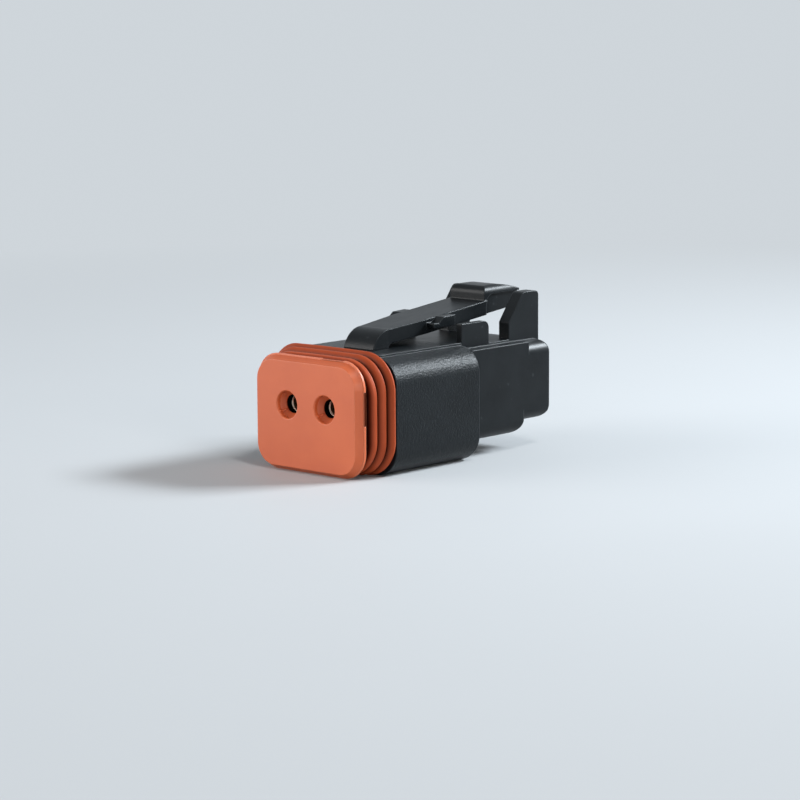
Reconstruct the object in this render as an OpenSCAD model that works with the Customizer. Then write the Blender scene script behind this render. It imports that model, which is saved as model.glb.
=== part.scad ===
// Sealed two-way plug connector: female half with a lever latch on top.
// Millimetres. +X to the right, +Y towards the wires, +Z up.
// Inside the modules y = 0 is the mating face and z = 0 the face it rests on;
// in_frame() then centres the length on the origin.

/* [Contacts] */
// Distance between the two contact axes
pitch = 5.97; // [5.4:0.01:6.2]
// Height of the contact axes above the resting face
axis_h = 7.8; // [7.4:0.1:8.2]
// Radius of the hole in each contact that takes the mating pin
socket_r = 0.8; // [0.6:0.01:0.9]
// Wall of the contact barrel round that hole
barrel_wall = 0.42; // [0.3:0.01:0.5]
// Depth of the hole for the mating pin
socket_depth = 7.0; // [4:0.5:9]
// Radius of the contact's locating shoulder
shoulder_r = 1.68; // [1.55:0.01:1.75]
// Length of that shoulder
shoulder_len = 1.3; // [0.8:0.1:1.6]
// Overall length of a contact
contact_len = 17.0; // [15.5:0.5:18]
// Distance from the mating face to the contact's mouth
contact_front = 1.8; // [1.6:0.1:2.2]
// Radius of the contact's mouth over its outside
mouth_r = 1.0; // [0.95:0.01:1.1]
// Radius of the hole for the wire's strands
crimp_r = 0.78; // [0.5:0.01:0.85]
// Wall of the spring sleeve over the contact's mouth
hood_wall = 0.18; // [0.1:0.01:0.25]

/* [Housing] */
// Width of the main block
body_w = 19.5; // [18.5:0.1:21]
// Height of the main block without its raised top strip
body_h = 13.6; // [13.2:0.1:14.5]
// Length of the main block
body_len = 14.4; // [13.5:0.1:16]
// Corner radius of the block along its top
body_top_r = 3.0; // [1.5:0.1:4]
// Corner radius of the block along its base
body_low_r = 3.3; // [1.5:0.1:4]
// Distance between the outer edges of the raised deck on the rear shell
strip_w = 13.9; // [12.5:0.1:14.4]
// Height of the deck, and of the block's rail in line with it
strip_h = 0.3; // [0.1:0.05:0.5]
// Radius of the cavity behind each contact shoulder
cavity_r = 1.85; // [1.8:0.01:2]
// Free play between pieces that slide in one another
slide_gap = 0.08; // [0.04:0.01:0.1]

/* [Secondary lock] */
// Width of the flat mating face
face_w = 15.6; // [14.8:0.1:16]
// Height of the flat mating face
face_h = 12.35; // [11.8:0.05:12.6]
// Height of the contact axes above the lower edge of that face
face_drop = 7.25; // [7:0.05:7.3]
// Corner radius of the face
face_r = 2.5; // [1.5:0.1:3.5]
// How far the bevel widens the cap on each side
bevel_grow = 0.5; // [0.2:0.05:0.6]
// Depth of the bevel
bevel_len = 0.9; // [0.4:0.1:1.2]
// Depth of the rim behind the bevel
rim_len = 0.25; // [0.15:0.05:0.4]
// How far the rim stands out beyond the bevel
rim_out = 0.15; // [0.05:0.05:0.2]
// How far the neck behind the rim is set in
neck_inset = 0.45; // [0.2:0.05:0.55]
// Overall depth of the cap
cap_len = 1.9; // [1.7:0.1:2.1]
// Thickness of the cap's front wall
cap_wall = 1.2; // [1:0.1:1.4]
// Thickness of the cap's side wall
skirt_wall = 0.9; // [0.7:0.1:1.2]
// Radius of the pin entry holes
entry_r = 1.6; // [1.5:0.01:1.7]
// Chamfer round each pin entry
entry_edge = 0.12; // [0.05:0.01:0.2]
// Depth at which each entry begins to narrow
entry_len = 0.6; // [0.4:0.05:0.8]
// Radius of the guide that each entry narrows to
guide_r = 1.1; // [1:0.01:1.3]
// Width of the locking blade
blade_w = 9.4; // [8:0.1:10.5]
// Thickness of the locking blade
blade_t = 1.0; // [0.7:0.1:1.2]
// How far the blade reaches behind the mating face
blade_len = 13.0; // [12:0.5:13.5]

/* [Interface seal] */
// Widths of the three ribs, front to back
rib_widths = [17.7, 18.4, 19.7];
// Heights of the three ribs' tops
rib_tops = [13.5, 13.9, 14.2];
// Heights of the three ribs' lowest points
rib_lows = [0.2, 0.05, 0];
// Width of the band under the ribs
land_w = 16.9; // [16:0.1:17.6]
// Distance from the cap to the first rib, and from the last rib to the block
rib_inset = 0.45; // [0.4:0.01:0.6]
// Distance between neighbouring ribs
rib_pitch = 1.05; // [1:0.01:1.1]
// Width of a rib at its foot
rib_len = 0.78; // [0.6:0.01:0.85]
// Width of the flat along a rib's crest
crest_len = 0.22; // [0.1:0.01:0.3]
// Height of a rib's sloping flank
flank_h = 0.42; // [0.2:0.01:0.5]
// Corner radius of the ribs
rib_corner_r = 4.2; // [3.4:0.1:4.8]

/* [Rear shell] */
// Width of the rear shell
shell_w = 17.2; // [16.6:0.1:18]
// Length of the rear shell
shell_len = 14.2; // [13.4:0.1:15]
// Length of the deeper part of the shell
belly_len = 9.45; // [8.6:0.05:10]
// Height of the deeper part's underside
belly_z = 2.1; // [1.6:0.1:2.6]
// Height of the end part's underside
tail_z = 3.45; // [3.2:0.05:3.6]
// Height of the shell's top
shell_top = 13.1; // [12.6:0.05:13.4]
// Length of the square side rails
rail_len = 10.4; // [9.6:0.1:11]
// Corner radius of the shell
shell_r = 1.7; // [1:0.1:2.2]
// Radius of each wire entry
wire_r = 2.0; // [1.7:0.1:2.2]
// Thickness of the shell's rear wall
rear_wall = 3.2; // [2.4:0.1:4]
// Radius of the round ends of the seal pocket
pocket_r = 3.7; // [3.4:0.1:3.9]

/* [Guards] */
// Thickness of the guard walls beside the arm
guard_t = 0.8; // [0.6:0.1:1.2]
// Length of the guard walls
guard_len = 4.9; // [3.5:0.1:5.5]
// Height of the guard walls' tops
guard_top = 16.1; // [15.5:0.1:16.6]
// Thickness of the ears beside the thumb pad
ear_t = 1.55; // [1.2:0.05:2]
// Distance from the mating face to the ears
ear_front = 27.9; // [27.2:0.1:28.4]
// Height of the ears' tops
ear_top = 18.9; // [18.2:0.1:19.2]
// Height at which the ears' fronts begin to slope
ear_knee = 15.45; // [14.8:0.05:16]
// Slope of the ears' fronts
ear_slope = 53; // [45:1:58]
// How far in from the deck's left edge the left guard wall and ear stand
left_inset = 1.35; // [1:0.05:1.5]
// How far behind the right ear's front the left ear begins
left_setback = 1.5; // [0.5:0.1:1.6]
// How much lower the left guard wall is
left_drop = 0.5; // [0:0.1:0.8]

/* [Latch] */
// Width of the arm where it leaves the housing
root_w = 4.7; // [4:0.1:5.2]
// Width of the arm along its free length
arm_w = 5.8; // [5.3:0.1:6.2]
// Thickness of the arm
arm_t = 1.7; // [1.4:0.1:1.9]
// Upward slope of the arm
arm_rise = 6.3; // [5:0.1:7]
// Distance from the mating face to the back of the arm's root
root_back = 11.55; // [11.2:0.05:12]
// Radius of the arm's curved front
root_r = 3.07; // [2.8:0.01:3.2]
// Width of the catch shoulders beyond the arm
lug_out = 1.2; // [0.6:0.1:1.3]
// Distance from the mating face to the catch shoulders
lug_front = 17.6; // [17:0.1:18.2]
// Length of the catch shoulders
lug_len = 3.8; // [3:0.1:4.4]
// Width of the thumb pad
pad_w = 5.5; // [5:0.1:6]
// Distance from the mating face to the thumb pad
pad_front = 28.3; // [27.6:0.1:29]
// How far the thumb pad reaches past the rear shell
pad_over = 1.3; // [0.5:0.1:1.6]
// Height of the thumb pad's crown
pad_top = 19.5; // [19:0.1:19.8]
// Radius of the crown along the pad
crown_r = 14; // [10:0.5:20]
// Radius of the rounding along the pad's front and sides
pad_edge_r = 1.0; // [0.6:0.1:1.2]
// Depth of the finger hollow in each side of the pad
scoop = 0.5; // [0.2:0.1:0.8]

/* [Hidden] */
$fn = 64;
eps = 0.01;
// Reach of a cut past the face it opens, and of a raised feature into the body under it
over = 1;

// Places along the length, from the mating face
body_front = cap_len + 2 * (rib_inset + rib_pitch);
body_rear = body_front + body_len;
shell_rear = body_rear + shell_len;
pad_rear = shell_rear + pad_over;
overall_len = pad_rear;
nose_front = cap_wall + slide_gap;

// Outline of the cap, its pocket and the nose that fills it
face_low = axis_h - face_drop;
cap_w = face_w + 2 * bevel_grow;
cap_low = face_low - bevel_grow;
cap_high = face_low + face_h + bevel_grow;
cap_r = face_r + bevel_grow;
nose_w = cap_w - 2 * (skirt_wall + slide_gap);
nose_low = cap_low + skirt_wall + slide_gap;
nose_high = cap_high - skirt_wall - slide_gap;
nose_r = cap_r - skirt_wall;

// Contact and cavity
barrel_r = socket_r + barrel_wall;
hood_r = barrel_r + hood_wall;
stop_y = 9.0;
mouth_len = 0.5;
hood_inset = 0.9;
hood_clear = 0.6;
hood_front = contact_front + hood_inset;
hood_rear = stop_y - hood_clear;
finger_len = 4.2;
finger_w = 1.2;
finger_t = 0.8;
finger_gap = 0.1;
finger_tip = stop_y + shoulder_len;
finger_root = finger_tip + finger_len;
finger_in = barrel_r + finger_gap;
finger_out = finger_in + finger_t;
blade_top = axis_h - finger_out - slide_gap;
crimp_depth = 6.2;

// Rear seal, and the lead-in of its wire entries
wire_edge = 0.5;
wire_edge_len = 0.6;
collar_len = 1.3;
collar_gap = 0.06;
seal_front = body_rear + collar_len;
seal_rear = shell_rear - rear_wall;

// Latch
arm_top_y = 12;
arm_top_z = 15.9;
arm_side = arm_w / 2;
guard_out = strip_w / 2;

function arm_line(y) = arm_top_z + (y - arm_top_y) * tan(arm_rise);

// ---- Shared building blocks ----

module in_frame() translate([0, -overall_len / 2, 0]) children();

// Extrudes an outline drawn across the connector from y0 to y1
module run(y0, y1) translate([0, y1, 0]) rotate([90, 0, 0]) linear_extrude(y1 - y0) children();

// Extrudes a side view (y, z) from x0 to x1
module across(x0, x1) translate([x0, 0, 0]) rotate([90, 0, 90]) linear_extrude(x1 - x0) children();

// Widens a rounded rectangle evenly by grow between y0 and y1: cones at the corners, tapered bars between
module flare(y0, y1, w, low, high, r, grow) {
    for (x = [r - w / 2, w / 2 - r], z = [low + r, high - r])
        translate([x, y1, z]) rotate([90, 0, 0]) cylinder(h = y1 - y0, r1 = r + grow, r2 = r);
    translate([0, 0, low + r]) linear_extrude(high - low - 2 * r)
        polygon([[-w / 2, y0], [w / 2, y0], [w / 2 + grow, y1], [-w / 2 - grow, y1]]);
    across(r - w / 2, w / 2 - r)
        polygon([[y0, low], [y1, low - grow], [y1, high + grow], [y0, high]]);
}

module both_sides() {
    children();
    mirror([1, 0, 0]) children();
}

// Rounded rectangle centred on x = 0, with its own radius at the base and at the top
module rounded(w, low, high, low_r, top_r) {
    for (s = [-1, 1]) {
        translate([s * (w / 2 - low_r), low + low_r]) circle(low_r);
        translate([s * (w / 2 - top_r), high - top_r]) circle(top_r);
    }
    translate([-w / 2, low + low_r]) square([w, high - low - low_r - top_r]);
    translate([low_r - w / 2, low]) square([w - 2 * low_r, low_r + eps]);
    translate([top_r - w / 2, high - top_r - eps]) square([w - 2 * top_r, top_r + eps]);
}

// Two circles side by side at the contact pitch, joined by a bar
module twin(r) {
    for (s = [-1, 1]) translate([s * pitch / 2, axis_h]) circle(r);
    translate([-pitch / 2, axis_h - r]) square([pitch, 2 * r]);
}

// A round bar along a contact axis
module rod(side, y0, y1, r)
    translate([side * pitch / 2, y1, axis_h]) rotate([90, 0, 0]) cylinder(h = y1 - y0, r = r);

// A cone along a contact axis, with its own radius at each end
module cone(side, y0, y1, r0, r1)
    translate([side * pitch / 2, y1, axis_h]) rotate([90, 0, 0]) cylinder(h = y1 - y0, r1 = r1, r2 = r0);

// ---- Housing ----

module nose() run(nose_front, body_front + eps) rounded(nose_w, nose_low, nose_high, nose_r, nose_r);

module main_block() {
    run(body_front, body_rear) rounded(body_w, 0, body_h, body_low_r, body_top_r);
    translate([guard_out - guard_t, body_front, body_h - over]) cube([guard_t, body_len, strip_h + over]);
}

module cavity(side) {
    rod(side, nose_front - eps, hood_front, barrel_r + slide_gap);
    rod(side, hood_front - slide_gap, stop_y + eps, hood_r + slide_gap);
    rod(side, stop_y, body_rear + collar_len + eps, cavity_r);
}

// Springy finger that holds the contact's shoulder from behind
module finger(side) {
    intersection() {
        rod(side, finger_tip, finger_root, finger_out);
        translate([side * pitch / 2 - finger_w / 2, finger_tip, axis_h - finger_out])
            cube([finger_w, finger_len, finger_t]);
    }
}

// Slot for the locking blade, with a room under each finger
module blade_slot() {
    slot_w = blade_w + 2 * slide_gap;
    slot_h = blade_t + 2 * slide_gap;
    end_gap = 0.4;
    room_w = finger_w + 2 * 0.3;
    room_front = finger_tip - end_gap;
    room_len = finger_len - 0.6;
    translate([-slot_w / 2, nose_front - eps, blade_top - blade_t - slide_gap])
        cube([slot_w, blade_len + end_gap - nose_front, slot_h]);
    for (side = [-1, 1])
        translate([side * pitch / 2 - room_w / 2, room_front, blade_top - eps])
            cube([room_w, room_len, finger_out]);
}

module rear_collar() run(body_rear - eps, body_rear + collar_len) twin(pocket_r - collar_gap);

module housing() {
    color("dimgray") in_frame() {
        difference() {
            union() {
                nose();
                main_block();
                rear_collar();
            }
            for (side = [-1, 1]) cavity(side);
            blade_slot();
        }
        for (side = [-1, 1]) finger(side);
    }
}

// ---- Latch arm ----

// Plan of the arm: narrow at its root, full width from the catch shoulders on
module arm_plan() {
    polygon([
        [-root_w / 2, 0], [root_w / 2, 0], [root_w / 2, root_back],
        [arm_side, lug_front], [arm_side, pad_rear], [-arm_side, pad_rear],
        [-arm_side, lug_front], [-root_w / 2, root_back]
    ]);
}

// Side view of the arm: an arched root that runs into a straight lever over a round-ended slot
module arm_side_view() {
    slot_r = 0.75;
    arch_y = root_back + slot_r / 2;
    arch_z = arm_line(arch_y) - root_r;
    under = arm_t / cos(arm_rise);
    slot_y = root_back + slot_r;
    slot_z = arm_line(slot_y) - under - slot_r;
    difference() {
        union() {
            intersection() {
                translate([arch_y, arch_z]) circle(root_r);
                translate([0, body_h]) square([arch_y, root_r * 2]);
            }
            polygon([
                [arch_y - eps, body_h], [arch_y - eps, arm_line(arch_y)], [pad_rear, arm_line(pad_rear)],
                [pad_rear, arm_line(pad_rear) - under], [slot_y, arm_line(slot_y) - under], [slot_y, body_h]
            ]);
        }
        translate([slot_y, slot_z]) circle(slot_r);
        polygon([
            [root_back, body_h - over], [root_back, slot_z], [slot_y, slot_z + slot_r],
            [pad_rear + over, arm_line(pad_rear + over) - under], [pad_rear + over, body_h - over]
        ]);
    }
}

// Catch shoulder: a low ledge, a ramp and a higher seat behind it
module lug() {
    ledge_drop = 0.45;
    seat_drop = 0.1;
    heel_rise = 0.3;
    ramp_len = 0.86;
    lug_rear = lug_front + lug_len;
    ramp_y = lug_front + 0.9;
    seat_y = ramp_y + ramp_len;
    ledge_z = arm_line(lug_front) - ledge_drop;
    seat_z = arm_line(lug_rear) - seat_drop;
    heel_z = arm_line(lug_rear) - arm_t + heel_rise;
    across(arm_side - eps, arm_side + lug_out) polygon([
        [lug_front, heel_z], [lug_front, ledge_z], [ramp_y, ledge_z],
        [seat_y, seat_z - seat_drop], [lug_rear, seat_z], [lug_rear, heel_z]
    ]);
}

// Thumb pad with a crowned top, rounded along its front and its sides
module pad() {
    crown_y = pad_front + 2;
    low = arm_line(pad_front) - arm_t / 2;
    side_r = 0.3;
    intersection() {
        run(pad_front - over, pad_rear + over) rounded(pad_w, low, pad_top, side_r, pad_edge_r);
        across(-arm_side, arm_side) intersection() {
            translate([crown_y, pad_top - crown_r]) circle(crown_r);
            union() {
                translate([pad_front + pad_edge_r, low])
                    square([pad_rear - pad_front - pad_edge_r, pad_top - low]);
                translate([pad_front, low]) square([pad_edge_r + eps, pad_top - pad_edge_r - low]);
                translate([pad_front + pad_edge_r, pad_top - pad_edge_r]) circle(pad_edge_r);
            }
        }
    }
}

// Finger hollow cut into one side of the pad and the arm under it, below the crown's edge
module pad_scoop() {
    scoop_r = 1.6;
    scoop_front = pad_front + 0.2;
    scoop_top = pad_top - pad_edge_r;
    across(arm_side - scoop, arm_side + over) {
        translate([scoop_front + scoop_r, body_h])
            square([pad_rear - scoop_front, scoop_top - body_h]);
        translate([scoop_front, body_h]) square([scoop_r + eps, scoop_top - body_h - scoop_r]);
        translate([scoop_front + scoop_r, scoop_top - scoop_r]) circle(scoop_r);
    }
}

module latch_arm() {
    color("dimgray") in_frame() {
        difference() {
            union() {
                intersection() {
                    across(-arm_side, arm_side) arm_side_view();
                    linear_extrude(2 * pad_top) arm_plan();
                }
                pad();
            }
            both_sides() pad_scoop();
        }
        both_sides() lug();
    }
}

// ---- Rear shell ----

// Side view of the tail, with its rear edges rounded
module tail_side_view() {
    edge_r = 1.2;
    translate([body_rear, tail_z]) square([shell_len - edge_r, shell_top - tail_z]);
    translate([body_rear, tail_z + edge_r]) square([shell_len, shell_top - tail_z - 2 * edge_r]);
    for (z = [tail_z + edge_r, shell_top - edge_r]) translate([shell_rear - edge_r, z]) circle(edge_r);
}

// Side view of the belly, with its lower rear corner rounded
module belly_side_view() {
    translate([body_rear, belly_z]) square([belly_len - shell_r, shell_top - belly_z]);
    translate([body_rear, belly_z + shell_r]) square([belly_len, shell_top - belly_z - shell_r]);
    translate([body_rear + belly_len - shell_r, belly_z + shell_r]) circle(shell_r);
}

module tail() {
    intersection() {
        run(body_rear, shell_rear) rounded(shell_w, tail_z, shell_top, shell_r, shell_r);
        across(-shell_w, shell_w) tail_side_view();
    }
}

module belly() {
    intersection() {
        run(body_rear, body_rear + belly_len) rounded(shell_w, belly_z, shell_top, shell_r, shell_r);
        across(-shell_w, shell_w) belly_side_view();
    }
}

// Square corner along the top of each side
module rail()
    translate([shell_w / 2 - shell_r, body_rear, shell_top - shell_r]) cube([shell_r, rail_len, shell_r]);

module deck()
    translate([-guard_out, body_rear, shell_top - over]) cube([strip_w, rail_len, strip_h + over]);

// Wall beside the arm, rounded at its upper rear corner
module guard_wall(top) {
    guard_r = 0.9;
    guard_rear = body_rear + guard_len;
    across(guard_out - guard_t, guard_out) {
        translate([body_rear, shell_top]) square([guard_len, top - shell_top - guard_r]);
        translate([body_rear, shell_top]) square([guard_len - guard_r, top - shell_top]);
        translate([guard_rear - guard_r, top - guard_r]) circle(guard_r);
    }
}

// Ear beside the thumb pad: upright below, sloped above, rounded over at the top
module ear(front) {
    front_r = 0.9;
    back_r = 0.6;
    back_gap = 0.1;
    rear = shell_rear - back_gap;
    // How far along the slope the front rounding begins
    t = (ear_top - front_r + front_r * cos(ear_slope) - ear_knee) / sin(ear_slope);
    slope_y = front + t * cos(ear_slope);
    slope_z = ear_knee + t * sin(ear_slope);
    arc_y = slope_y + front_r * sin(ear_slope);
    arc_z = slope_z - front_r * cos(ear_slope);
    across(guard_out - ear_t, guard_out) {
        polygon([
            [front, shell_top - over], [front, ear_knee], [slope_y, slope_z], [arc_y, arc_z],
            [arc_y, ear_top], [rear - back_r, ear_top], [rear - back_r, ear_top - back_r],
            [rear, ear_top - back_r], [rear, shell_top - over]
        ]);
        translate([arc_y, arc_z]) circle(front_r);
        translate([rear - back_r, ear_top - back_r]) circle(back_r);
    }
}

module rear_shell() {
    color("darkslategray") in_frame() {
        difference() {
            union() {
                tail();
                belly();
                both_sides() rail();
                deck();
            }
            run(body_rear - eps, seal_rear) twin(pocket_r);
            for (side = [-1, 1]) {
                rod(side, seal_rear - eps, shell_rear + eps, wire_r);
                cone(side, shell_rear - wire_edge_len, shell_rear + eps, wire_r, wire_r + wire_edge);
            }
        }
        guard_wall(guard_top);
        ear(ear_front);
        translate([left_inset, 0, 0]) mirror([1, 0, 0]) {
            guard_wall(guard_top - left_drop);
            ear(ear_front + left_setback);
        }
    }
}

// ---- Secondary lock ----

// Rim behind the bevel, left out in two windows: one in the top, one in the right side
module rim() {
    side_low = axis_h - 1.5;
    side_high = axis_h + 2.4;
    top_left = 1.8;
    top_right = cap_w / 2 - cap_r;
    difference() {
        run(bevel_len - eps, bevel_len + rim_len)
            rounded(cap_w + 2 * rim_out, cap_low - rim_out / 4, cap_high + rim_out,
                    cap_r + rim_out, cap_r + rim_out);
        translate([cap_w / 2 - neck_inset, bevel_len, side_low])
            cube([neck_inset + over, cap_len, side_high - side_low]);
        translate([top_left, bevel_len, cap_high - neck_inset])
            cube([top_right - top_left, cap_len, neck_inset + over]);
    }
}

module neck() {
    run(bevel_len - eps, cap_len)
        rounded(cap_w - 2 * neck_inset, cap_low + neck_inset, cap_high - neck_inset,
                cap_r - neck_inset, cap_r - neck_inset);
}

module blade() {
    translate([-blade_w / 2, cap_wall - eps, blade_top - blade_t])
        cube([blade_w, blade_len - cap_wall, blade_t]);
}

module wedge_lock() {
    color("sandybrown") in_frame() {
        difference() {
            union() {
                flare(0, bevel_len, face_w, face_low, face_low + face_h, face_r, bevel_grow);
                rim();
                neck();
            }
            run(cap_wall, cap_len + over)
                rounded(cap_w - 2 * skirt_wall, cap_low + skirt_wall, cap_high - skirt_wall,
                        cap_r - skirt_wall, cap_r - skirt_wall);
            for (side = [-1, 1]) {
                cone(side, -eps, entry_edge, entry_r + entry_edge, entry_r);
                rod(side, 0, entry_len, entry_r);
                cone(side, entry_len - eps, entry_len + entry_r - guide_r, entry_r, guide_r);
                rod(side, 0, cap_wall + eps, guide_r);
            }
        }
        blade();
    }
}

// ---- Seals ----

// One rib: flanks that flare to a narrow flat crest
module rib(i) {
    w = rib_widths[i] - 2 * flank_h;
    low = rib_lows[i] + flank_h;
    high = rib_tops[i] - flank_h;
    r = rib_corner_r - flank_h;
    y = cap_len + rib_inset + i * rib_pitch;
    flank = (rib_len - crest_len) / 2;
    flare(y - crest_len / 2 - flank, y - crest_len / 2, w, low, high, r, flank_h);
    run(y - crest_len / 2 - eps, y + crest_len / 2 + eps)
        rounded(rib_widths[i], rib_lows[i], rib_tops[i], rib_corner_r, rib_corner_r);
    translate([0, 2 * y, 0]) mirror([0, 1, 0])
        flare(y - crest_len / 2 - flank, y - crest_len / 2, w, low, high, r, flank_h);
}

module interface_seal() {
    land_drop = 0.35;
    land_r = 3.2;
    front = cap_len + 0.02;
    color("chocolate") in_frame() {
        difference() {
            union() {
                run(front, body_front)
                    rounded(land_w, rib_lows[0] + land_drop, rib_tops[0] - land_drop, land_r, land_r);
                for (i = [0 : 2]) rib(i);
            }
            run(cap_len - over, body_front + over) rounded(nose_w, nose_low, nose_high, nose_r, nose_r);
        }
    }
}

// Grommet with ribbed outside and ribbed wire holes
module rear_seal() {
    rib_count = 3;
    groove = 0.45;
    wire_gap = 0.05;
    wire_groove = 0.5;
    seal_len = seal_rear - seal_front;
    step = seal_len / rib_count;
    // Where each rib and each inner groove begins and ends, as shares of one step
    rib_span = [0.3, 0.7];
    groove_span = [0.1, 0.6];
    color("chocolate") in_frame() {
        difference() {
            union() {
                run(seal_front, seal_rear) twin(pocket_r - groove);
                for (i = [0 : rib_count - 1])
                    run(seal_front + (i + rib_span[0]) * step, seal_front + (i + rib_span[1]) * step)
                        twin(pocket_r - collar_gap);
            }
            for (side = [-1, 1]) {
                rod(side, seal_front - eps, seal_rear + eps, barrel_r + wire_gap);
                for (i = [0 : rib_count - 1])
                    rod(side, seal_front + (i + groove_span[0]) * step,
                        seal_front + (i + groove_span[1]) * step, barrel_r + wire_groove);
            }
        }
    }
}

// ---- Contacts ----

module contact(side) {
    mouth_edge = 0.12;
    sight_r = 0.4;
    sight_inset = 0.6;
    contact_rear = contact_front + contact_len;
    color("darkkhaki") in_frame() {
        difference() {
            union() {
                cone(side, contact_front, contact_front + mouth_len, mouth_r, barrel_r);
                rod(side, contact_front + mouth_len - eps, contact_rear, barrel_r);
                rod(side, stop_y, stop_y + shoulder_len, shoulder_r);
            }
            rod(side, contact_front - eps, contact_front + socket_depth, socket_r);
            cone(side, contact_front - eps, contact_front + mouth_edge, socket_r + mouth_edge, socket_r);
            rod(side, contact_rear - crimp_depth, contact_rear + eps, crimp_r);
            // Sight hole that shows the strands at the bottom of the barrel
            translate([side * pitch / 2, contact_rear - crimp_depth + sight_inset, axis_h])
                cylinder(h = barrel_r + over, r = sight_r);
        }
    }
}

module contact_hood(side) {
    color("silver") in_frame() {
        difference() {
            rod(side, hood_front, hood_rear, hood_r);
            rod(side, hood_front - over, hood_rear + over, barrel_r);
        }
    }
}

module contact_left() contact(-1);
module contact_right() contact(1);
module contact_hood_left() contact_hood(-1);
module contact_hood_right() contact_hood(1);

housing();
latch_arm();
rear_shell();
wedge_lock();
interface_seal();
rear_seal();
contact_left();
contact_right();
contact_hood_left();
contact_hood_right();
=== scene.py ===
import math

import bpy
import numpy as np
from mathutils import Matrix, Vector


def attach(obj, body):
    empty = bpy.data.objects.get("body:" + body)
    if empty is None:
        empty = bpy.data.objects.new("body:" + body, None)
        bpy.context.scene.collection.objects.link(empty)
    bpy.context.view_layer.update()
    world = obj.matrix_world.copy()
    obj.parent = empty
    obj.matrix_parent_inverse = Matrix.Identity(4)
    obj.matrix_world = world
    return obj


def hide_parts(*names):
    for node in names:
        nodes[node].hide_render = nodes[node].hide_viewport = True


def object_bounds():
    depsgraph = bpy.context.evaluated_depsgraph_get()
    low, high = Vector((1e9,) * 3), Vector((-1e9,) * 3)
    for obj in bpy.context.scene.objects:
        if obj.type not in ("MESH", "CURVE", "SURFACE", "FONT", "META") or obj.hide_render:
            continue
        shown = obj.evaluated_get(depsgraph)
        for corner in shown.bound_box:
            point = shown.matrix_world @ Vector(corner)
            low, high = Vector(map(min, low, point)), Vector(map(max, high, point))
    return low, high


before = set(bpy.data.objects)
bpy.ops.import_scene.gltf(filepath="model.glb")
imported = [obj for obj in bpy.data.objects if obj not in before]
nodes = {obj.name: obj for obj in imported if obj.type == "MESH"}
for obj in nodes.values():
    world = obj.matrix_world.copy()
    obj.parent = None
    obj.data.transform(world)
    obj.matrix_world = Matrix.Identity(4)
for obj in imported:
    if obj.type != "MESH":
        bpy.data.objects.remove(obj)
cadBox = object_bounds()
print("frame loaded")

mm = 0.001
frontY = cadBox[0][1]  # place of the mating face, in metres
contactPitch = 5.97  # between the two pin entries, in mm
contactHeight = 7.8  # of the contact axes above the resting face, in mm


# A shader socket on which + - * / and comparisons add Math nodes
class Sock:
    def __init__(self, shader, out):
        self.shader = shader
        self.out = out

    def math(self, operation, first, second):
        made = self.shader.node("ShaderNodeMath", {"operation": operation})
        self.shader.feed(made.inputs[0], first)
        self.shader.feed(made.inputs[1], second)
        return Sock(self.shader, made.outputs[0])

    def __add__(self, other):
        return self.math("ADD", self, other)

    def __radd__(self, other):
        return self.math("ADD", other, self)

    def __sub__(self, other):
        return self.math("SUBTRACT", self, other)

    def __rsub__(self, other):
        return self.math("SUBTRACT", other, self)

    def __mul__(self, other):
        return self.math("MULTIPLY", self, other)

    def __rmul__(self, other):
        return self.math("MULTIPLY", other, self)

    def __truediv__(self, other):
        return self.math("DIVIDE", self, other)

    def __rtruediv__(self, other):
        return self.math("DIVIDE", other, self)

    def __gt__(self, other):
        return self.math("GREATER_THAN", self, other)

    def __lt__(self, other):
        return self.math("LESS_THAN", self, other)

    def clamp(self):
        made = self.shader.node("ShaderNodeClamp")
        self.shader.feed(made.inputs[0], self)
        return Sock(self.shader, made.outputs[0])

    # 0 at low and below, 1 at high and above, straight between
    def ramp(self, low, high):
        return ((self - low) / (high - low)).clamp()


# Nodes of one tree, for a material or the sky
class Shader:
    def __init__(self, tree):
        self.tree = tree

    def feed(self, socket, value):
        if isinstance(value, Sock):
            self.tree.links.new(value.out, socket)
        else:
            socket.default_value = value

    def node(self, kind, settings=None, **values):
        made = self.tree.nodes.new(kind)
        for key, value in (settings or {}).items():
            setattr(made, key, value)
        for key, value in values.items():
            self.feed(made.inputs[key.replace("_", " ")], value)
        return made

    def out(self, made, name=0):
        return Sock(self, made.outputs[name])

    # Second shader where the factor is 1
    def blend(self, factor, first, second):
        made = self.node("ShaderNodeMixShader")
        for index, value in enumerate((factor, first, second)):
            self.feed(made.inputs[index], value)
        return self.out(made)

    # 1 for rays that show the background or its reflection, 0 for rays that light the object
    def viewed(self):
        path = self.node("ShaderNodeLightPath")
        seen = self.out(path, "Is Camera Ray") + self.out(path, "Is Glossy Ray")
        return (seen + self.out(path, "Is Transmission Ray")).clamp()


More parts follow.
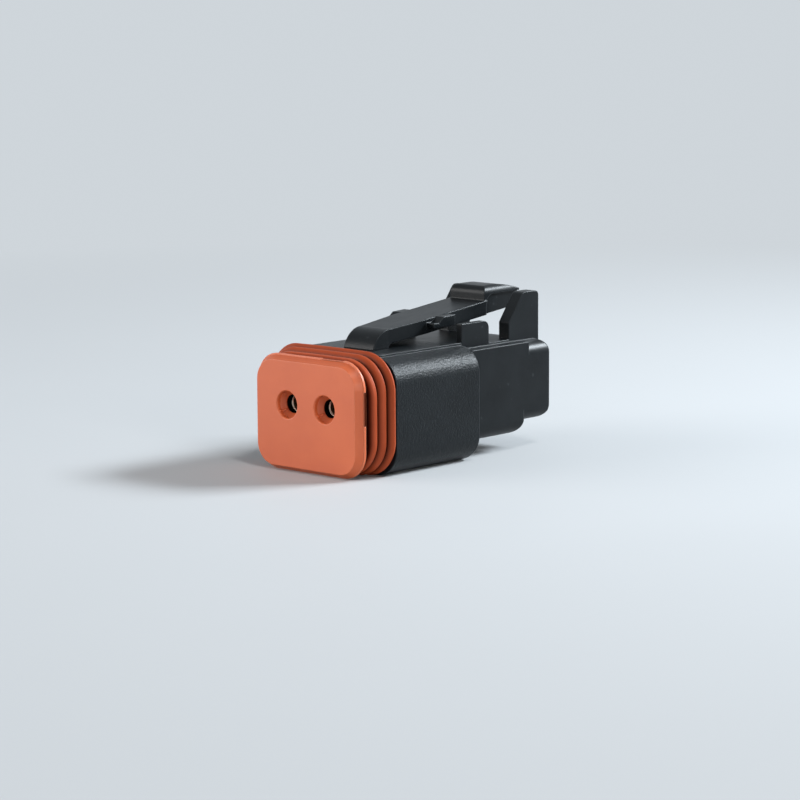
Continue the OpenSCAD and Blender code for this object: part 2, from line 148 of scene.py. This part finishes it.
class Mat(Shader):
    def __init__(self, name):
        self.material = bpy.data.materials.new(name)
        self.material.use_nodes = True
        super().__init__(self.material.node_tree)
        self.surface = self.tree.nodes["Principled BSDF"]

    def spot(self):
        return self.out(self.node("ShaderNodeTexCoord"), "Object")

    def along(self, vector, axis):
        return self.out(self.node("ShaderNodeSeparateXYZ", None, Vector=vector), axis)

    def noise(self, vector, scale, detail, roughness):
        made = self.node("ShaderNodeTexNoise", None, Vector=vector, Scale=scale,
                         Detail=detail, Roughness=roughness)
        return self.out(made, "Fac")

    # Slow noise that shifts tone and gloss over a whole piece
    def cloud(self, vector, scale):
        return self.noise(vector, scale, 3.0, 0.6)

    # Noise drawn out by its own scale along each axis
    def streaks(self, vector, scales, detail, roughness):
        drawn = self.out(self.node("ShaderNodeMapping", None, Vector=vector, Scale=scales), "Vector")
        return self.noise(drawn, 1.0, detail, roughness)

    def mix(self, factor, first, second):
        made = self.node("ShaderNodeMix", {"data_type": "RGBA"})
        for index, value in zip((0, 6, 7), (factor, first, second)):  # the node's colour sockets
            self.feed(made.inputs[index], value)
        return Sock(self, made.outputs[2])

    # Two tones of one colour, faded by a cloud
    def mottled(self, cloud, tones):
        return self.mix(cloud.ramp(0.3, 0.7), *tones)

    def bump(self, height, strength, distance, normal):
        made = self.node("ShaderNodeBump", None, Strength=strength, Distance=distance,
                         Height=height, Normal=normal)
        return self.out(made, "Normal")

    # Normal of a surface whose edges are rounded by a small radius
    def eased(self, radius):
        return self.out(self.node("ShaderNodeBevel", {"samples": 8}, Radius=radius))

    # Share of edge wear and painted edge highlight: how far the eased normal leans away from the flat one
    def wearAndHighlightMask(self, eased):
        flat = self.out(self.node("ShaderNodeNewGeometry"), "Normal")
        lean = self.node("ShaderNodeVectorMath", {"operation": "DOT_PRODUCT"})
        self.feed(lean.inputs[0], eased)
        self.feed(lean.inputs[1], flat)
        return (1.0 - self.out(lean, "Value")).ramp(0.0, 0.25)

    def put(self, **values):
        for key, value in values.items():
            self.feed(self.surface.inputs[key.replace("_", " ")], value)


def assign(mat, *names):
    for name in names:
        slots = nodes[name].data.materials
        slots.clear()
        slots.append(mat.material)


# Front housing: black nylon with a fine spark-eroded grain, paler on its peaks, and paler on its edges as
# edge wear and painted edge highlight
def blackTextured():
    skin = {
        "tones": ((0.0030, 0.0042, 0.0052, 1), (0.0056, 0.0074, 0.0088, 1)),
        "peaks": (0.014, 0.018, 0.021, 1), "peakShare": 0.5,
        "wornEdgeAndHighlight": (0.024, 0.029, 0.033, 1), "wornEdgeAndHighlightShare": 0.4,
        "fine": 6800.0, "coarse": 3000.0, "cloud": 170.0,
        "depth": 0.00010, "strength": 0.9, "ease": 0.00022,
        "specular": 0.15, "roughness": 0.27, "uneven": 0.08,
    }
    mat = Mat("black_textured")
    spot = mat.spot()
    fine = mat.noise(spot, skin["fine"], 1.5, 0.6)
    coarse = mat.noise(spot, skin["coarse"], 2.0, 0.6)
    cloud = mat.cloud(spot, skin["cloud"])
    eased = mat.eased(skin["ease"])
    base = mat.mottled(cloud, skin["tones"])
    base = mat.mix(coarse.ramp(0.55, 0.75) * skin["peakShare"], base, skin["peaks"])
    # Paler edges: edge wear and painted edge highlight
    base = mat.mix(mat.wearAndHighlightMask(eased) * skin["wornEdgeAndHighlightShare"], base, skin["wornEdgeAndHighlight"])
    mat.put(Specular_IOR_Level=skin["specular"])
    mat.put(Base_Color=base,
            Roughness=skin["roughness"] + cloud * skin["uneven"] + fine * skin["uneven"],
            Normal=mat.bump(fine * 0.6 + coarse * 0.4, skin["strength"], skin["depth"], eased))
    return mat


# Rear shell and latch: the same nylon from a smoother mould, with faint flow lines, and paler edges as
# rubbed wear and painted edge highlight
def blackSmooth():
    skin = {
        "tones": ((0.0030, 0.0042, 0.0052, 1), (0.0062, 0.0080, 0.0094, 1)),
        "dust": (0.045, 0.050, 0.054, 1), "dustShare": 0.35, "dustScale": 1500.0,
        "wornEdgeAndHighlight": (0.030, 0.035, 0.039, 1), "wornEdgeAndHighlightShare": 0.5,
        "fine": 5200.0, "flow": (900.0, 130.0, 900.0), "cloud": 240.0,
        "depth": 0.00003, "strength": 0.45, "ease": 0.00022,
        "specular": 0.15, "roughness": 0.27,
        "cloudUneven": 0.12, "flowUneven": 0.08, "dustUneven": 0.2,
    }
    mat = Mat("black_smooth")
    spot = mat.spot()
    fine = mat.noise(spot, skin["fine"], 2.0, 0.55)
    flow = mat.streaks(spot, skin["flow"], 3.0, 0.6)
    cloud = mat.cloud(spot, skin["cloud"])
    dust = mat.noise(spot, skin["dustScale"], 1.0, 0.4).ramp(0.74, 0.80)
    eased = mat.eased(skin["ease"])
    base = mat.mottled(cloud, skin["tones"])
    base = mat.mix(dust * skin["dustShare"], base, skin["dust"])
    # Paler edges: edge wear and painted edge highlight
    base = mat.mix(mat.wearAndHighlightMask(eased) * skin["wornEdgeAndHighlightShare"], base, skin["wornEdgeAndHighlight"])
    uneven = cloud * skin["cloudUneven"] + flow * skin["flowUneven"] + dust * skin["dustUneven"]
    mat.put(Specular_IOR_Level=skin["specular"])
    mat.put(Base_Color=base, Roughness=skin["roughness"] + uneven,
            Normal=mat.bump(fine * 0.6 + flow * 0.4, skin["strength"], skin["depth"], eased))
    return mat


# Secondary lock: orange plastic with a soft satin skin, pale edges as edge wear and painted edge highlight,
# and a painted shade band where the cap narrows behind its rim
def orangePlastic():
    skin = {
        "tones": ((0.520, 0.099, 0.028, 1), (0.570, 0.115, 0.034, 1)),
        "flow": (0.50, 0.092, 0.034, 1), "flowShare": 0.25, "flowScale": (120.0, 900.0, 700.0),
        "speck": (0.30, 0.055, 0.022, 1), "speckShare": 0.3, "speckScale": 2300.0,
        # The dark colour below is painted shade for the narrow band behind the cap's rim
        "neck": (0.060, 0.010, 0.003, 1), "neckShare": 0.9, "neckFront": 0.00118, "neckRear": 0.00196,
        "edge": (0.80, 0.33, 0.20, 1), "edgeShare": 0.6,
        "fine": 4200.0, "cloud": 150.0, "depth": 0.00003, "strength": 0.30, "ease": 0.00012,
        "specular": 0.42, "roughness": 0.37, "cloudUneven": 0.08, "flowUneven": 0.06,
    }
    mat = Mat("orange_plastic")
    spot = mat.spot()
    fine = mat.noise(spot, skin["fine"], 2.0, 0.55)
    cloud = mat.cloud(spot, skin["cloud"])
    flow = mat.streaks(spot, skin["flowScale"], 3.0, 0.6)
    speck = mat.noise(spot, skin["speckScale"], 1.0, 0.4).ramp(0.76, 0.82)
    eased = mat.eased(skin["ease"])
    behind = mat.along(spot, "Y") - frontY
    # Painted shade: a dark band on the cap where it narrows behind its rim, between two distances from the
    # mating face
    neck = (behind > skin["neckFront"]) * (behind < skin["neckRear"])
    base = mat.mottled(cloud, skin["tones"])
    base = mat.mix(flow.ramp(0.45, 0.8) * skin["flowShare"], base, skin["flow"])
    base = mat.mix(speck * skin["speckShare"], base, skin["speck"])
    base = mat.mix(neck * skin["neckShare"], base, skin["neck"])
    # Pale edges: edge wear and painted edge highlight
    base = mat.mix(mat.wearAndHighlightMask(eased) * skin["edgeShare"], base, skin["edge"])
    mat.put(Specular_IOR_Level=skin["specular"])
    mat.put(Base_Color=base,
            Roughness=skin["roughness"] + cloud * skin["cloudUneven"] + flow * skin["flowUneven"],
            Normal=mat.bump(fine * 0.6 + flow * 0.4, skin["strength"], skin["depth"], eased))
    return mat


# Seals: red-brown silicone, slightly waxy. The ring's grooves carry painted shade, darker where the groove
# depth attribute is higher.
def sealSilicone(name, paintsGrooveShade):
    skin = {
        "tones": ((0.315, 0.050, 0.014, 1), (0.375, 0.063, 0.018, 1)),
        "groove": (0.020, 0.003, 0.001, 1), "grooveShadeShare": 0.97,
        "fine": 3600.0, "cloud": 260.0, "depth": 0.00003, "strength": 0.22, "ease": 0.0001,
        "specular": 0.17, "roughness": 0.44, "uneven": 0.12,
    }
    mat = Mat(name)
    spot = mat.spot()
    fine = mat.noise(spot, skin["fine"], 2.0, 0.5)
    cloud = mat.cloud(spot, skin["cloud"])
    base = mat.mottled(cloud, skin["tones"])
    if paintsGrooveShade:
        grooveShade = mat.out(mat.node("ShaderNodeAttribute", {"attribute_name": "grooveShadeDepth"}), "Fac")
        # Painted shade: the groove colour darkens the ring's grooves
        base = mat.mix(grooveShade.ramp(0.05, 0.60) * skin["grooveShadeShare"], base, skin["groove"])
    mat.put(Specular_IOR_Level=skin["specular"])
    mat.put(Base_Color=base, Roughness=skin["roughness"] + cloud * skin["uneven"],
            Normal=mat.bump(fine, skin["strength"], skin["depth"], mat.eased(skin["ease"])))
    return mat


contactAlloy = {
    "tones": ((0.50, 0.40, 0.30, 1), (0.66, 0.56, 0.45, 1)),
    "cloud": 900.0, "marks": (6000.0, 500.0, 6000.0), "ease": 0.00006,
    "roughness": 0.20, "cloudUneven": 0.14,
}
sleeveSteel = {
    "tones": ((0.54, 0.53, 0.52, 1), (0.66, 0.65, 0.64, 1)),
    "cloud": 1100.0, "marks": (7000.0, 600.0, 7000.0), "ease": 0.00004,
    "roughness": 0.22, "cloudUneven": 0.12,
}


# Contacts and spring sleeves: metal with drawing marks along the barrel
def drawnMetal(name, metal):
    marks = {"uneven": 0.08, "strength": 0.25, "depth": 0.00001}
    mat = Mat(name)
    spot = mat.spot()
    cloud = mat.cloud(spot, metal["cloud"])
    drawn = mat.streaks(spot, metal["marks"], 2.0, 0.5)
    eased = mat.eased(metal["ease"])
    mat.put(Base_Color=mat.mottled(cloud, metal["tones"]), Metallic=1.0,
            Roughness=metal["roughness"] + cloud * metal["cloudUneven"] + drawn * marks["uneven"],
            Normal=mat.bump(drawn, marks["strength"], marks["depth"], eased))
    return mat


# Four-sided faces of a grid that closes round its turns and, if closed, along its rows too
def quads(rows, turns, closed):
    i = np.arange(rows if closed else rows - 1)[:, None] * turns
    nextI = np.roll(i, -1, axis=0) if closed else i + turns
    j = np.arange(turns)[None, :]
    nextJ = np.roll(j, -1, axis=1)
    return np.stack([i + j, nextI + j, nextI + nextJ, i + nextJ], axis=-1).reshape(-1, 4)


# New smooth piece from points in mm, with y counted from the mating face
def addPiece(name, points, faces, mat):
    mesh = bpy.data.meshes.new(name)
    mesh.from_pydata((points.reshape(-1, 3) * mm + np.array([0.0, frontY, 0.0])).tolist(), [], faces)
    mesh.polygons.foreach_set("use_smooth", np.ones(len(mesh.polygons), dtype=bool))
    mesh.update()
    mesh.materials.append(mat.material)
    obj = bpy.data.objects.new(name, mesh)
    bpy.context.scene.collection.objects.link(obj)
    return obj


# Ring seal: a closed profile carried round a rounded rectangle. Along the outside, the profile sinks from
# each rib's crest by a quarter ellipse; from rib to rib, width and height change along a straight line.
# Round the outline, the first half of each quarter turn is a corner's arc, and the second half is the
# straight run to the next corner. The top side bulges by a parabola.
def ringSeal():
    seal = {
        "ribs": (2.35, 3.40, 4.45), "widths": (17.7, 18.4, 19.7),
        "tops": (13.5, 13.9, 14.2), "lows": (0.2, 0.05, 0.0),
        "corner": 4.3, "crown": 0.16, "halfBead": 0.52, "groove": 0.78,
        "front": 1.94, "rear": 4.88,
        "boreHalf": 7.35, "boreTop": 12.4, "boreLow": 1.0, "boreCorner": 2.15,
        "turns": 360, "rows": 91, "boreRows": 9,
    }
    ribs = np.array(seal["ribs"])
    outside = np.linspace(seal["front"], seal["rear"], seal["rows"])
    near = np.abs(outside[:, None] - ribs[None, :]).min(axis=1)
    sink = 1.0 - np.sqrt(np.clip(1.0 - (near / seal["halfBead"]) ** 2, 0.0, 1.0))
    # Share of painted groove shade: the groove depth along the outside, full on the bore
    grooveShade = np.concatenate([sink, np.ones(seal["boreRows"])])
    sink = seal["groove"] * sink

    def profile(outer, bore):
        return np.concatenate([outer, np.full(seal["boreRows"], bore)])[:, None]

    y = np.concatenate([outside, np.linspace(seal["rear"], seal["front"], seal["boreRows"])])
    half = profile(np.interp(outside, ribs, seal["widths"]) / 2 - sink, seal["boreHalf"])
    top = profile(np.interp(outside, ribs, seal["tops"]) - sink, seal["boreTop"])
    low = profile(np.interp(outside, ribs, seal["lows"]) + sink, seal["boreLow"])
    corner = profile(seal["corner"] - sink, seal["boreCorner"])
    crown = profile(np.full(seal["rows"], seal["crown"]), 0.0)
    tall = (top - low) / 2

    quarter = np.pi / 2
    turn = np.linspace(0.0, 4 * quarter, seal["turns"], endpoint=False) / quarter
    side = np.floor(turn).astype(int)
    part = turn - side
    aim = (side + np.clip(part / 0.5, 0.0, 1.0)) * quarter
    flat = np.clip((part - 0.5) / 0.5, 0.0, 1.0)
    cornerX = np.array([1.0, -1.0, -1.0, 1.0])
    cornerZ = np.array([1.0, 1.0, -1.0, -1.0])
    runX = cornerX[side] + (np.roll(cornerX, -1) - cornerX)[side] * flat
    runZ = cornerZ[side] + (np.roll(cornerZ, -1) - cornerZ)[side] * flat
    x = (half - corner) * runX + corner * np.cos(aim)
    z = (tall - corner) * runZ + corner * np.sin(aim)
    z = z + crown * np.clip(z / tall, 0.0, 1.0) * np.clip(1.0 - (x / half) ** 2, 0.0, 1.0)

    points = np.stack([x, np.broadcast_to(y[:, None], x.shape), z + (top + low) / 2], axis=-1)
    faces = quads(len(y), seal["turns"], True).tolist()
    obj = addPiece("ring_seal", points, faces, sealSilicone("ring_silicone", True))
    # Groove depth attribute that drives the painted shade in the seal material
    layer = obj.data.attributes.new("grooveShadeDepth", "FLOAT", "POINT")
    layer.data.foreach_set("value", np.repeat(grooveShade, seal["turns"]).astype(np.float32))
    obj.data.update()
    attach(obj, "plug_body")
    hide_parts("interface_seal")


# Small rib on the wall of each pin entry: a round bar whose centre runs straight in for half its length and
# then follows the cone, and whose radius falls to almost nothing at both ends
def entryRib(name, side, mat):
    bar = {
        "angle": 215.0, "outer": 1.60, "inner": 1.16, "front": 0.10, "rear": 1.02,
        "radius": 0.13, "tip": 0.002, "blunt": 6, "steps": 25, "round": 16,
    }
    steps, turns = bar["steps"], bar["round"]
    u = np.linspace(0.0, 1.0, steps)
    v = np.linspace(0.0, 2 * np.pi, turns, endpoint=False)
    bend = np.clip((u - 0.5) / 0.5, 0.0, 1.0)
    reach = bar["outer"] + (bar["inner"] - bar["outer"]) * bend
    y = bar["front"] + (bar["rear"] - bar["front"]) * u
    thick = bar["radius"] * (1.0 - np.abs(2 * u - 1) ** bar["blunt"]) ** 0.5 + bar["tip"]
    a = math.radians(bar["angle"])
    out = np.array([math.cos(a), 0.0, math.sin(a)])
    across = np.array([-math.sin(a), 0.0, math.cos(a)])
    centre = np.array([side * contactPitch / 2, 0.0, contactHeight])
    line = centre + reach[:, None] * out + y[:, None] * np.array([0.0, 1.0, 0.0])
    ring = np.cos(v)[None, :, None] * across + np.sin(v)[None, :, None] * out
    points = line[:, None, :] + thick[:, None, None] * ring
    walls = quads(steps, turns, False)[:, [0, 3, 2, 1]].tolist()
    ends = [list(range(turns))[::-1], list(range((steps - 1) * turns, steps * turns))]
    obj = addPiece(name, points, walls + ends, mat)
    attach(obj, "lock")


assign(blackTextured(), "housing")
assign(blackSmooth(), "rear_shell", "latch_arm")
capSkin = orangePlastic()
assign(capSkin, "wedge_lock")
assign(sealSilicone("seal_silicone", False), "interface_seal", "rear_seal")
assign(drawnMetal("contact_alloy", contactAlloy), "contact_left", "contact_right")
assign(drawnMetal("sleeve_steel", sleeveSteel), "contact_hood_left", "contact_hood_right")
print("materials done")
ringSeal()
entryRib("entry_rib_left", -1, capSkin)
entryRib("entry_rib_right", 1, capSkin)
print("ring seal and entry ribs done")


# Pale floor that keeps the object's shadow and fades into an even backdrop further out. The sky lights the
# object with its own colour and shows the backdrop's tone.
def floorAndSky():
    room = {
        "size": 3.0, "near": 0.05, "far": 0.26,
        "floor": ((0.455, 0.465, 0.475, 1), (0.465, 0.475, 0.485, 1)), "cloud": 30.0,
        "specular": 0.1, "roughness": 0.55, "uneven": 0.1,
        "tone": (0.622, 0.668, 0.706, 1),
        "light": (0.78, 0.86, 0.94, 1), "strength": 0.24,
    }
    size = room["size"]
    corners = [(-size, -size, 0), (size, -size, 0), (size, size, 0), (-size, size, 0)]
    mesh = bpy.data.meshes.new("floor")
    mesh.from_pydata(corners, [], [(0, 1, 2, 3)])
    floor = bpy.data.objects.new("floor", mesh)
    bpy.context.scene.collection.objects.link(floor)
    mat = Mat("floor_pale")
    spot = mat.spot()
    cloud = mat.cloud(spot, room["cloud"])
    mat.put(Specular_IOR_Level=room["specular"])
    mat.put(Base_Color=mat.mix(cloud, *room["floor"]),
            Roughness=room["roughness"] + cloud * room["uneven"])
    reach = mat.out(mat.node("ShaderNodeVectorMath", {"operation": "LENGTH"}, Vector=spot), "Value")
    glow = mat.out(mat.node("ShaderNodeEmission", None, Color=room["tone"], Strength=1.0))
    fade = reach.ramp(room["near"], room["far"]) * mat.viewed()
    end = mat.tree.nodes["Material Output"]
    mat.feed(end.inputs["Surface"], mat.blend(fade, mat.out(mat.surface), glow))
    mesh.materials.append(mat.material)

    world = bpy.data.worlds.new("studio")
    bpy.context.scene.world = world
    world.use_nodes = True
    sky = Shader(world.node_tree)
    lit = sky.tree.nodes["Background"]
    sky.feed(lit.inputs["Color"], room["light"])
    sky.feed(lit.inputs["Strength"], room["strength"])
    shown = sky.node("ShaderNodeBackground", None, Color=room["tone"])
    end = sky.tree.nodes["World Output"]
    sky.feed(end.inputs["Surface"], sky.blend(sky.viewed(), sky.out(lit), sky.out(shown)))


# Direction away from the object: azimuth in degrees from the mating face towards the right side
def towards(azimuth, elevation):
    a, e = math.radians(azimuth), math.radians(elevation)
    return np.array([math.sin(a) * math.cos(e), -math.cos(a) * math.cos(e), math.sin(e)])


# Right and up of a thing that looks against back, turned by roll in degrees
def turned(back, roll=0.0):
    right = np.cross((0.0, 0.0, 1.0), back)
    right = right / np.linalg.norm(right)
    up = np.cross(back, right)
    r = math.radians(roll)
    return math.cos(r) * right + math.sin(r) * up, math.cos(r) * up - math.sin(r) * right


def stand(obj, right, up, back, place):
    matrix = np.eye(4)
    matrix[:3] = np.stack([right, up, back, place], axis=1)
    obj.matrix_world = Matrix(matrix.tolist())
    bpy.context.scene.collection.objects.link(obj)


def camera():
    view = {
        "azimuth": 42.52, "elevation": 8.80, "roll": -0.32, "distance": 0.32285,
        "across": 0.01087, "above": 0.00085, "lens": 126.66, "sensor": 36.0, "near": 0.01,
    }
    back = towards(view["azimuth"], view["elevation"])
    right, up = turned(back, view["roll"])
    axis = np.array([0.0, frontY, contactHeight * mm])
    place = axis + view["across"] * right + view["above"] * up + view["distance"] * back
    data = bpy.data.cameras.new("camera")
    data.lens = view["lens"]
    data.sensor_width = view["sensor"]
    data.clip_start = view["near"]
    obj = bpy.data.objects.new("camera", data)
    stand(obj, right, up, back, place)
    bpy.context.scene.camera = obj


# Soft boxes: azimuth, elevation, distance, width, height, power, colour
def softBoxes():
    warm, cool = (1.0, 0.985, 0.97), (0.86, 0.94, 1.0)
    lamps = {
        "lamp_front": (-42.0, 14.0, 0.50, 0.42, 0.24, 2.1, warm),
        "lamp_back": (148.0, 33.0, 0.50, 0.20, 0.10, 5.0, cool),
        "lamp_top": (72.0, 60.0, 0.60, 0.09, 0.09, 0.9, (1.0, 0.99, 0.98)),
        "lamp_right": (70.0, 14.0, 0.60, 0.16, 0.12, 1.0, warm),
    }
    middle = np.array([0.0, 0.0, 0.008])
    for name, (azimuth, elevation, distance, width, height, power, colour) in lamps.items():
        back = towards(azimuth, elevation)
        data = bpy.data.lights.new(name, "AREA")
        data.shape = "RECTANGLE"
        data.size = width
        data.size_y = height
        data.energy = power
        data.color = colour
        stand(bpy.data.objects.new(name, data), *turned(back), back, middle + distance * back)


floorAndSky()
camera()
softBoxes()
bpy.context.scene.view_settings.view_transform = "Standard"
print("studio done")
